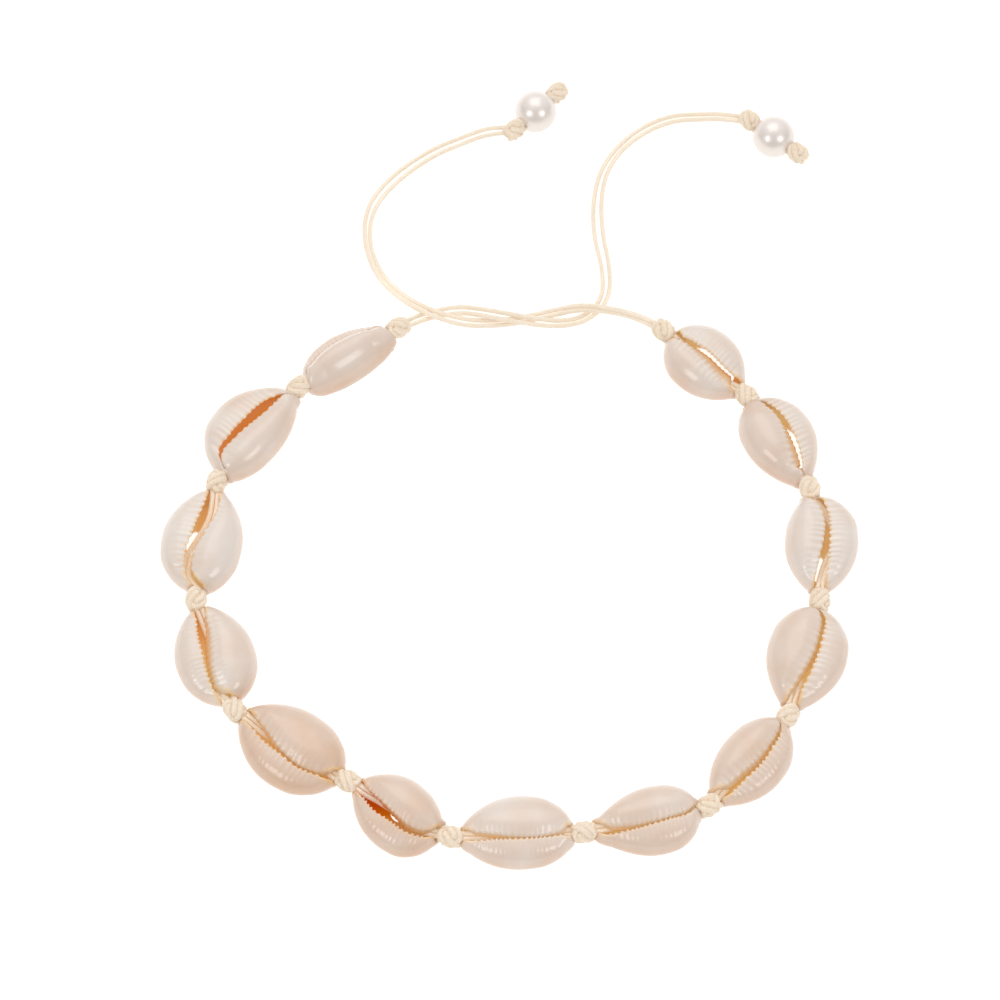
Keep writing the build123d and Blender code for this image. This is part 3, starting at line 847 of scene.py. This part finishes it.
# A hard gloss like glazed porcelain: soft wide highlights with sharp ones on top, and a
# painted glow, an emission that stands in for light coming through the thin shell.
enamel, tree = new_material("polished cowrie enamel")
marks = {
    name: node(tree, "ShaderNodeAttribute", {"attribute_name": name}).outputs["Fac"]
    for name in ("ridge", "warm", "lit", "warmth", "glow")
}
place = node(tree, "ShaderNodeTexCoord").outputs["Object"]
height = node(tree, "ShaderNodeSeparateXYZ", {}, Vector=place).outputs["Z"]
cloud = node(
    tree, "ShaderNodeTexNoise", {}, Vector=place, Scale=CLOUDS, Detail=3.0
).outputs["Fac"]
fine = node(
    tree, "ShaderNodeTexNoise", {}, Vector=place, Scale=GRAIN, Detail=4.0
).outputs["Fac"]

# The body: pale above, tan in clouds, white on the ridges, and tan low on the sides,
# which is painted shade near the ground.
low_side_shade = node(
    tree, "ShaderNodeMapRange", SMOOTH,
    Value=height, From_Min=0.0050, From_Max=0.0010, To_Min=0.0, To_Max=0.6,
).outputs[0]
uneven = node(
    tree, "ShaderNodeMath", {"operation": "MULTIPLY_ADD"}, _0=cloud, _1=1.1, _2=-0.55
).outputs[0]
uneven = node(
    tree, "ShaderNodeMath", {"operation": "ADD"}, _0=uneven, _1=marks["warmth"]
).outputs[0]
warmth = node(
    tree, "ShaderNodeMath", {"operation": "ADD", "use_clamp": True}, _0=uneven, _1=low_side_shade
).outputs[0]
body = node(
    tree, "ShaderNodeMix", BLEND, _0=warmth, _6=linear(PALE), _7=linear(TAN)
).outputs[2]
body = node(
    tree, "ShaderNodeMix", BLEND, _0=marks["ridge"], _6=body, _7=linear(TOOTH_WHITE)
).outputs[2]

# The slot: a tan cream at its edges, painted shade between the teeth and along the
# canals, then the colour of the hollow.
lip = node(
    tree, "ShaderNodeMapRange", {},
    Value=marks["warm"], From_Min=0.0, From_Max=0.5, To_Min=0.0, To_Max=1.0,
).outputs[0]
deep = node(
    tree, "ShaderNodeMapRange", {},
    Value=marks["warm"], From_Min=0.5, From_Max=1.0, To_Min=0.0, To_Max=1.0,
).outputs[0]
colour = node(tree, "ShaderNodeMix", BLEND, _0=lip, _6=body, _7=linear(LIP_CREAM)).outputs[2]
red = node(
    tree, "ShaderNodeMapRange", {},
    Value=marks["glow"], From_Min=1.0, From_Max=2.0, To_Min=0.0, To_Max=1.0,
).outputs[0]
inside = node(
    tree, "ShaderNodeMix", BLEND,
    _0=marks["glow"], _6=linear(CREAM_HOLLOW), _7=linear(ORANGE_HOLLOW),
).outputs[2]
inside = node(tree, "ShaderNodeMix", BLEND, _0=red, _6=inside, _7=linear(RED_HOLLOW)).outputs[2]
colour = node(tree, "ShaderNodeMix", BLEND, _0=deep, _6=colour, _7=inside).outputs[2]

# Painted glow: an emission that stands in for the light that comes through the shell there.
light = node(
    tree, "ShaderNodeMix", BLEND,
    _0=marks["glow"], _6=linear(CREAM_LIGHT), _7=linear(ORANGE_LIGHT),
).outputs[2]
light = node(tree, "ShaderNodeMix", BLEND, _0=red, _6=light, _7=linear(RED_LIGHT)).outputs[2]
glow = node(
    tree, "ShaderNodeMix", BLEND, _0=marks["lit"], _6=(0, 0, 0, 1), _7=light
).outputs[2]
bump = node(
    tree, "ShaderNodeBump", {}, Strength=0.04, Distance=0.0001, Height=fine
).outputs[0]
finish_material(tree, node(
    tree, "ShaderNodeBsdfPrincipled", {},
    Base_Color=colour, Roughness=0.3, IOR=1.53, Coat_Weight=0.6, Coat_Roughness=0.09,
    Emission_Color=glow, Emission_Strength=0.39, Normal=bump,
))
for shell in shells:
    shell.data.materials.clear()
    shell.data.materials.append(enamel)

# %% [markdown]
# Waxed cotton cord is twisted from fine threads and rubbed with wax, so it is cream,
# a little shiny and shows a faint slanted weave. Stripes across the cord's own map,
# slanted by its length, give that weave, with shade painted into the creases between
# the threads and a faint painted glow for light coming through the cord.

# %% Waxed cord
THREADS, THREAD_MM = 3, 0.8  # one turn of the three threads in 2.4 mm of cord
FIBRES = 2600.0  # 0.4 mm, coarser than cotton fibres so that they show
BLOTCHES = 220.0  # 4.5 mm patches of more or less wax
# CREASE is the tan of the shade painted between the threads.
WAX_PALE, WAX_CREAM, CREASE = "#FBF2E4", "#F4E6D0", "#DDB083"


def waxed_cord(name, length_mm, relief_and_crease_shade, clear):
    """Soft satin cord with slanted threads. The second number sets how deep the creases
    between them are and how dark the shade painted into them; the third sets a painted
    glow, an emission that stands in for light coming through the cord."""
    made, tree = new_material(name)
    coordinates = node(tree, "ShaderNodeTexCoord")
    place = coordinates.outputs["Object"]
    grain = node(
        tree, "ShaderNodeTexNoise", {}, Vector=place, Scale=FIBRES, Detail=3.0
    ).outputs["Fac"]
    blotch = node(
        tree, "ShaderNodeTexNoise", {}, Vector=place, Scale=BLOTCHES, Detail=2.0
    ).outputs["Fac"]
    parts = node(tree, "ShaderNodeSeparateXYZ", {}, Vector=coordinates.outputs["UV"])
    along = node(
        tree, "ShaderNodeMath", {"operation": "MULTIPLY"},
        _0=parts.outputs["Y"], _1=2 * math.pi * length_mm / THREAD_MM,
    ).outputs[0]
    turn = node(
        tree, "ShaderNodeMath", {"operation": "MULTIPLY_ADD"},
        _0=parts.outputs["X"], _1=2 * math.pi * THREADS, _2=along,
    ).outputs[0]
    thread = node(tree, "ShaderNodeMath", {"operation": "SINE"}, _0=turn).outputs[0]
    relief = node(
        tree, "ShaderNodeMath", {"operation": "MULTIPLY_ADD"}, _0=thread, _1=0.3, _2=grain
    ).outputs[0]
    shade = node(
        tree, "ShaderNodeMix", BLEND, _0=blotch, _6=linear(WAX_PALE), _7=linear(WAX_CREAM)
    ).outputs[2]
    # Painted shade: the cord goes darker in the creases between its threads.
    crease = node(
        tree, "ShaderNodeMapRange", {},
        Value=relief, From_Min=0.15, From_Max=0.6, To_Min=relief_and_crease_shade, To_Max=0.0,
    ).outputs[0]
    shade = node(
        tree, "ShaderNodeMix", BLEND, _0=crease, _6=shade, _7=linear(CREASE)
    ).outputs[2]
    bump = node(
        tree, "ShaderNodeBump", {}, Strength=1.4 * relief_and_crease_shade, Distance=0.0001, Height=relief
    ).outputs[0]
    # Painted glow: the cord gives off a little light in its own colour, standing in for light
    # coming through it.
    finish_material(tree, node(
        tree, "ShaderNodeBsdfPrincipled", {},
        Base_Color=shade, Roughness=0.5, IOR=1.45, Normal=bump,
        Emission_Color=shade, Emission_Strength=clear,
    ))
    return made


cord_finishes = [
    (waxed_cord("waxed cotton cord", 106, 0.35, 0.13), tie_strands.values()),
    (waxed_cord("waxed cotton cord in a knot", 20, 0.55, 0.10), knots),
    (waxed_cord("waxed cotton cord in the shells", 295, 0.3, 0.16), strings),
]
for finish, pieces in cord_finishes:
    for made in pieces:
        made.data.materials.clear()
        made.data.materials.append(finish)
for name in pearl_rows:
    for end in ("inner", "outer"):
        solid = frame["nodes"][f"{name}_strand_{end}"]
        solid.data.materials.clear()
        solid.data.materials.append(cord_finishes[0][0])
print("cord finishes", [finish.name for finish, _ in cord_finishes])

# %% [markdown]
# The beads are plastic pearls: a bead dipped in pearl lacquer. The lacquer is nearly
# white and faintly pink, with a clear coat over a softer, half metallic sheen.

# %% Pearl lacquer
# Flakes in the lacquer give the broad silky sheen, and the clear coat its bright spots.
pearl_lacquer, tree = new_material("dipped pearl lacquer")
finish_material(tree, node(
    tree, "ShaderNodeBsdfPrincipled", {},
    Base_Color=linear("#E8E0DA"), Metallic=0.45, Roughness=0.34, IOR=1.4,
    Coat_Weight=0.35, Coat_Roughness=0.22,
))
for name in pearl_rows:
    solid = frame["nodes"][name]
    solid.data.materials.clear()
    solid.data.materials.append(pearl_lacquer)
print("pearls", list(pearl_rows))

# %% [markdown]
# For each strand of the tie, the pieces on its far end are gathered: for a lower strand,
# the pearl, its two strands and its two knots.

for name, strand in tie_strands.items():
    pearl = "pearl_right" if name.startswith("tie_left") else "pearl_left"
    carried = []
    if name.endswith("lower"):
        carried = [frame["nodes"][pearl]]
        carried += [frame["nodes"][f"{pearl}_strand_{k}"] for k in ("inner", "outer")]
        carried += [bpy.data.objects[f"{pearl}_overhand_{k}"] for k in ("near", "far")]
bpy.context.view_layer.update()
